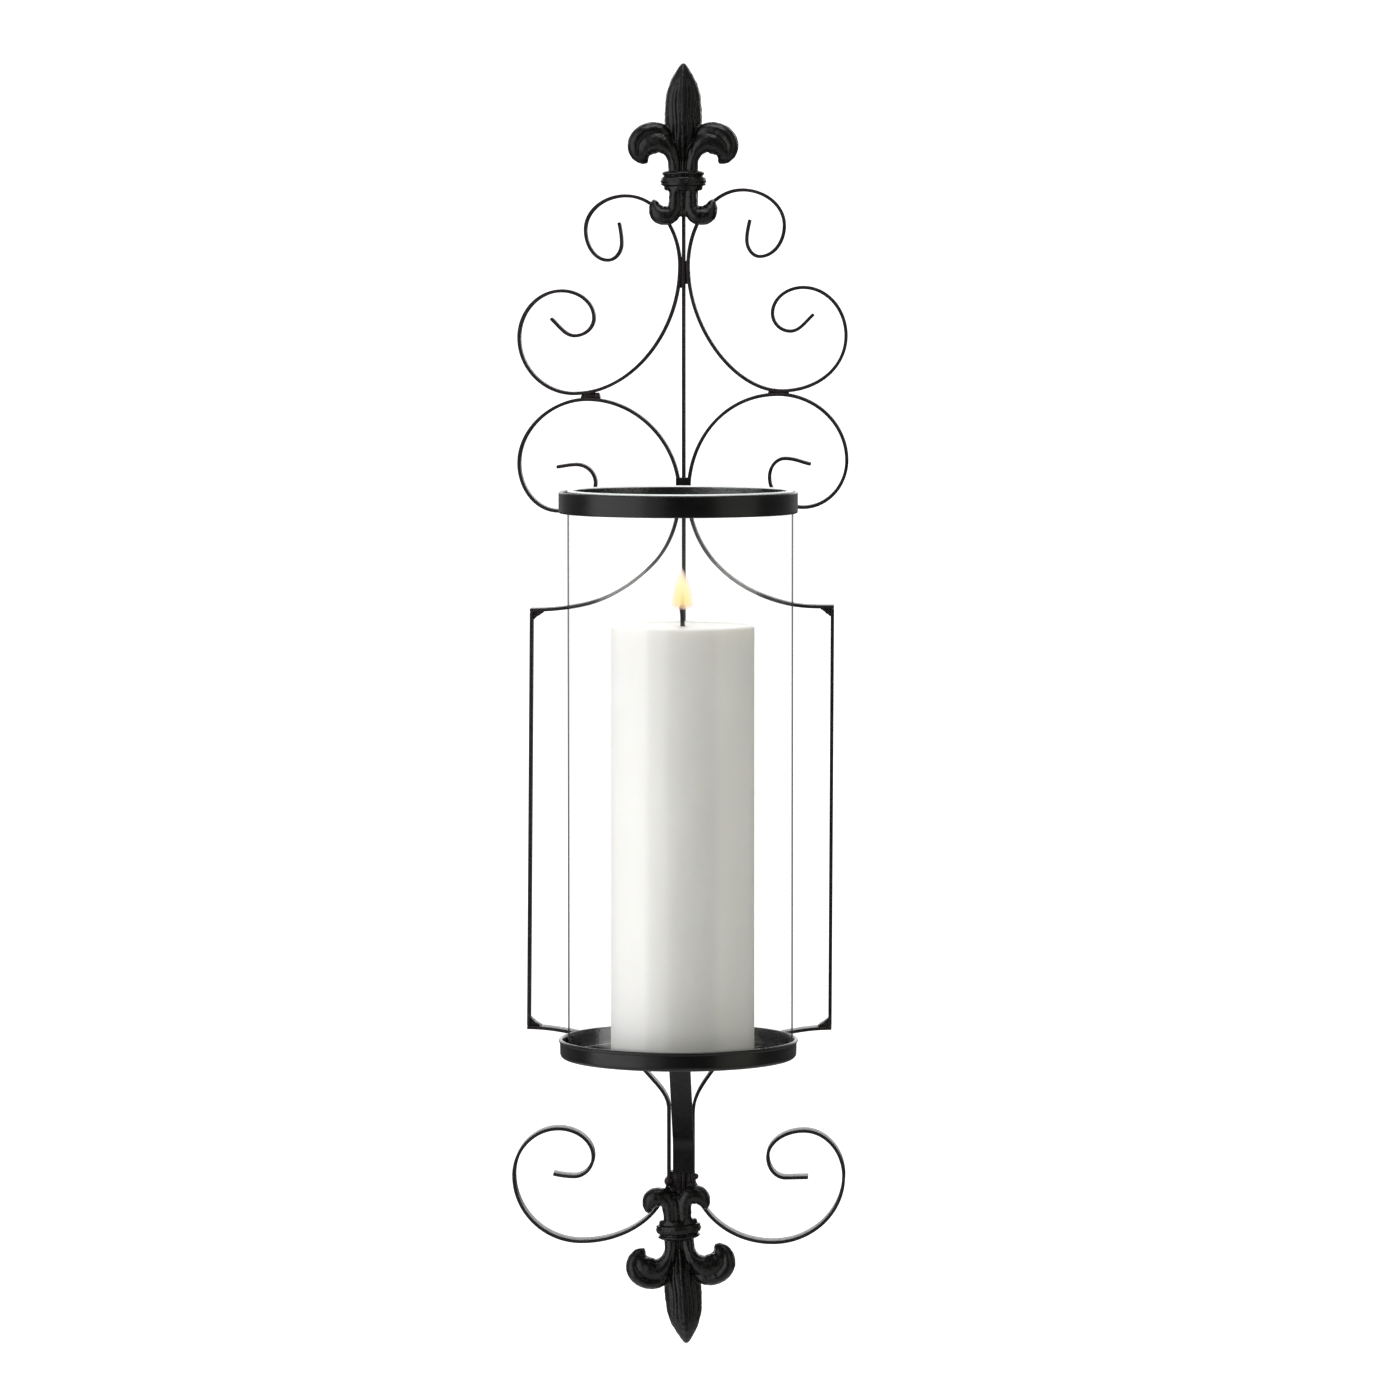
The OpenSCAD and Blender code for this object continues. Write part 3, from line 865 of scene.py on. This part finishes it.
def weld_beads(name, material, lumps=()):
    """Lumpy weld metal in the place of a CAD weld, with extra lumps where they are given."""
    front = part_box(name)[0].y
    shape = bmesh.new()
    shape.from_mesh(NODES[name].data)
    bmesh.ops.remove_doubles(shape, verts=shape.verts, dist=SAME_POINT)
    for across, up, radius in lumps:
        ball = bmesh.ops.create_icosphere(shape, subdivisions=3, radius=radius * MM)["verts"]
        for v in ball:
            v.co.y *= 1.5
            v.co += Vector((across * MM, front + 0.5 * radius * MM, up * MM))
    beads = remeshed(shape, WELD_STEP)
    beads.normal_update()
    for v in beads.verts:
        lump = noise.noise(v.co * 420) + 0.4 * noise.noise(v.co * 1100)
        v.co += v.normal * (0.15 + 0.35 * lump) * MM
    piece = make_object(name + "_beads", beads, material, smooth_below=60)
    put(piece, "frame", "bar_paint", name)


# ---------------------------------------------------------------- ring, pan, glass and candle

# Sides of a turned piece, and of the glass
ROUND_STEPS = 192
GLASS_STEPS = 256
# Gap from a straight's ends to the points that keep its shading flat
HOLD = 0.35 * MM


def upright(name):
    """The middle of a round CAD node's foot, its radius and its height."""
    low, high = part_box(name)
    foot = Vector(((low.x + high.x) / 2, (low.y + high.y) / 2, low.z))
    return foot, (high.x - low.x) / 2, high.z - low.z


def turned(name, node, profile, material, body, slot, segments=ROUND_STEPS, smooth_below=40):
    """A lathed piece on its CAD node's axis. Heights in the profile start at the node's foot."""
    shape = bmesh.new()
    lathe(shape, held(profile, HOLD), upright(node)[0], segments)
    piece = make_object(name, shape, material, smooth_below)
    put(piece, body, slot, node)
    return piece


def rounded_wall(inner, outer, height, foot_edge, top_edge, steps):
    """Profile of an upright wall between two radii, with its four corners rounded."""
    profile = []
    for across, up, edge, first in (
        (inner + foot_edge, foot_edge, foot_edge, 180),
        (outer - foot_edge, foot_edge, foot_edge, 270),
        (outer - top_edge, height - top_edge, top_edge, 0),
        (inner + top_edge, height - top_edge, top_edge, 90),
    ):
        profile += arc((across, up), edge, first, first + 90, steps)
    return profile


def ring_band(material):
    """The flat hoop round the top of the glass, with its edges rolled round."""
    _, radius, height = upright("top_ring")
    thick, edge = 1.5 * MM, 0.6 * MM
    profile = rounded_wall(radius - thick, radius, height, edge, edge, 4)
    turned("ring_band", "top_ring", profile, material, "frame", "sheet_paint")


# How far the pan's rolled rim stands out past its wall
PAN_LIP = 0.6 * MM


def drip_pan(material):
    """Pressed pan: flat floor, rounded corners inside and out, and a rolled rim."""
    _, radius, height = upright("pan")
    radius -= PAN_LIP
    sheet, corner, bead = 1.2 * MM, 2.0 * MM, 0.8 * MM
    inside = radius - sheet
    inner_corner = corner - 0.6 * MM
    pin = 0.05 * MM
    profile = [(pin, 0.0), (radius * 0.6, 0.0)]
    profile += arc((radius - corner, corner), corner, -90, 0, 8)
    profile += arc((radius - 0.2 * MM, height - bead), bead, -70, 150, 14)
    profile += [(inside, height - 2.2 * bead)]
    profile += arc((inside - inner_corner, sheet + inner_corner), inner_corner, 0, -90, 6)
    profile += [(radius * 0.6, sheet), (pin, sheet)]
    turned("drip_pan", "pan", profile, material, "frame", "sheet_paint")


def glass_sleeve(outer_glass, bore_glass, rim_glass):
    """Clear tube with a fire-polished rim and a ground foot."""
    foot, radius, height = upright("glass_tube")
    wall, polish, ground = 2.0 * MM, 0.85 * MM, 0.25 * MM
    profile = rounded_wall(radius - wall, radius, height, ground, polish, 5)
    tube = turned(
        "glass_sleeve", "glass_tube", profile, outer_glass, "glass", "clear_glass",
        segments=GLASS_STEPS, smooth_below=60)
    tube.data.materials.append(bore_glass)
    tube.data.materials.append(rim_glass)
    bore_index, rim_index = 1, 2
    # Faces that look up or down take the rim material, painted pale as a highlight
    for face in tube.data.polygons:
        inward = Vector((foot.x - face.center.x, foot.y - face.center.y, 0))
        if abs(face.normal.z) > 0.2:
            face.material_index = rim_index
        elif face.normal.dot(inward) > 0:
            face.material_index = bore_index


def pillar_candle(material):
    """Moulded pillar: rounded shoulder, a low rim and a shallow pool round the wick."""
    foot, radius, height = upright("candle")
    hole, pool = 1.25 * MM, 4 * MM
    shoulder, rim, dish = 1.1 * MM, 3.0 * MM, 0.7 * MM
    wall_steps, rim_steps, floor_steps = 14, 8, 6
    profile = [
        (hole, 0.0), (radius - 0.6 * MM, 0.0), (radius - 0.15 * MM, 0.15 * MM),
        (radius, 0.6 * MM),
    ]
    profile += [(radius, height * k / wall_steps) for k in range(1, wall_steps)]
    profile += arc((radius - shoulder, height - shoulder), shoulder, 0, 90, 6)
    for k in range(1, rim_steps + 1):
        share = k / rim_steps
        across = radius - shoulder - rim * share
        profile.append((across, height - dish * (0.5 - 0.5 * math.cos(math.pi * share))))
    across = radius - shoulder - rim
    for k in range(1, floor_steps):
        share = k / floor_steps
        profile.append((across * (1 - share) + pool * share, height - dish))
    profile += [
        (3.2 * MM, height - dish - 0.25 * MM), (2.0 * MM, height - dish - 0.3 * MM),
        (hole, height - dish + 0.1 * MM),
    ]
    shape = bmesh.new()
    lathe(shape, profile, foot, ROUND_STEPS)
    for v in shape.verts:
        out = Vector((v.co.x - foot.x, v.co.y - foot.y, 0))
        if out.length < 5 * MM:
            continue
        near_top = max(0.0, 1 - (WAX_TOP - v.co.z) / (12 * MM))
        wave = noise.noise(Vector((v.co.x * 30, v.co.y * 30, v.co.z * 9)))
        v.co -= out.normalized() * 0.12 * MM * (0.5 + 0.5 * wave)
        sag = noise.noise(v.co * 38 + Vector((3, 1, 7)))
        v.co.z -= 0.45 * MM * near_top * (0.5 + 0.5 * sag)
    piece = make_object("pillar_candle", shape, material, smooth_below=40)
    put(piece, "candle", "wax", "candle")


def round_ring(shape, x, y, z, radius, sides):
    """A level ring of vertices."""
    ring = []
    for k in range(sides):
        turn = 2 * math.pi * k / sides
        ring.append(shape.verts.new((x + radius * math.cos(turn), y + radius * math.sin(turn), z)))
    return ring


def burnt_wick(material):
    """Three strands twisted round each other, thick at the wax and curled at the charred tip."""
    centre = upright("wick")[0]
    shape = bmesh.new()
    strands, steps, sides, turns = 3, 90, 8, 4.5
    foot = WAX_TOP - 2.5 * MM
    tip = WICK_TIP - 0.2 * MM
    for strand in range(strands):
        rings = []
        for k in range(steps + 1):
            share = k / steps
            turn = 2 * math.pi * (turns * share + strand / strands)
            spread = (0.52 - 0.2 * share) * MM
            thick = (0.62 - 0.24 * share) * MM
            if k in (0, steps):
                thick *= 0.35
            curl = 0.9 * MM * share ** 3
            rings.append(round_ring(
                shape, centre.x + spread * math.cos(turn) - curl,
                centre.y + spread * math.sin(turn), foot + (tip - foot) * share, thick, sides))
        join_rings(shape, rings)
        close_ends(shape, rings)
    piece = make_object("burnt_wick", shape, material, smooth_below=60)
    put(piece, "candle", "wick_cotton", "wick")


# Foot of the flame above the wax, its height, and the strength of its glow
FLAME_FOOT = 6.2 * MM
FLAME_TALL = 17.4 * MM
FLAME_STRENGTH = 1.22


def flame_shell(name, material, lift, tall, wide, lean):
    """A flame's outline turned round the wick: full at its foot and drawn out to a tip. lift is
    how far its foot is above the flame's, wide is half its width, and lean is to the right."""
    centre = upright("wick")[0]
    foot = WAX_TOP + FLAME_FOOT + lift
    shape = bmesh.new()
    levels, sides = 48, 40
    rings = []
    for k in range(levels + 1):
        share = 0.004 + 0.992 * k / levels
        foot_round = min(1.0, share / 0.1)
        belly = math.sqrt(1 - (1 - foot_round) ** 2) * (1 - share ** 2.1) ** 0.95
        rings.append(round_ring(
            shape, centre.x + lean * share ** 2, centre.y, foot + tall * share,
            wide * belly, sides))
    join_rings(shape, rings)
    close_ends(shape, rings)
    put(make_object(name, shape, material, smooth_below=80), "candle", "flame")


def flame():
    """Four shells, one inside the other, from the pink edge to the dark heart round the wick."""
    edge = flame_glow(
        "flame_edge", 0.28,
        (0.0, (1.0, 0.66, 0.56)), (0.3, (1.0, 0.66, 0.40)), (0.75, (1.0, 0.68, 0.50)),
        (1.0, (1.0, 0.74, 0.72)))
    body = flame_glow(
        "flame_body", 0.4,
        (0.0, (1.05, 0.66, 0.30)), (0.2, (1.1, 0.93, 0.30)), (0.6, (1.1, 1.05, 0.50)),
        (1.0, (1.1, 1.0, 0.72)))
    core = flame_glow(
        "flame_core", 0.4,
        (0.0, (1.1, 0.92, 0.30)), (0.35, (1.15, 1.12, 0.55)), (1.0, (1.15, 1.15, 0.85)))
    heart = flame_glow(
        "flame_heart", 0.8,
        (0.0, (0.05, 0.03, 0.02)), (0.25, (0.25, 0.12, 0.05)), (0.5, (0.9, 0.6, 0.25)))
    flame_shell("flame_edge", edge, 0.0, FLAME_TALL, 4.5 * MM, -0.2 * MM)
    flame_shell("flame_body", body, 0.7 * MM, FLAME_TALL - 2.2 * MM, 3.7 * MM, -0.15 * MM)
    flame_shell("flame_core", core, 2.0 * MM, FLAME_TALL - 5.6 * MM, 2.5 * MM, -0.1 * MM)
    flame_shell("flame_heart", heart, 0.6 * MM, 8.5 * MM, 0.75 * MM, 0.0)


# ---------------------------------------------------------------- build

add_camera()
add_world()
add_floor()
for softbox in SOFTBOXES:
    add_softbox(*softbox)
bpy.context.scene.view_settings.view_transform = "Standard"

paint = bar_paint()
iron = casting_paint()
plates = plate_paint()
enamel = sheet_paint()

for name in (
    "centre_bar", "side_bar_left", "side_bar_right",
    "top_scroll_left", "top_scroll_right", "mid_scroll_left", "mid_scroll_right",
    "bottom_scroll_left", "bottom_scroll_right",
):
    flat_bar(name, paint)
for name in ("belly_welds", "scroll_welds", "corner_welds"):
    weld_beads(name, paint)
weld_beads("base_spacers", paint, BASE_LUMPS)
for name in ("waist_plate", "ring_standoff", "pan_bracket", "hanger_plate"):
    dress_cad(name, plates)
finials(iron)
ring_band(enamel)
drip_pan(enamel)
# The limb grey of each glass is painted shade along its edges
glass_sleeve(
    clear_glass("clear_glass", mirrors=0.07, limb_mirrors=0.4, limb_shade=(0.36, 0.365, 0.385)),
    clear_glass("bore_glass", mirrors=0.045, limb_mirrors=0.08, limb_shade=(0.985, 0.99, 0.99)),
    rim_painted_highlight(),
)
pillar_candle(wax())
burnt_wick(wick_cotton())
flame()
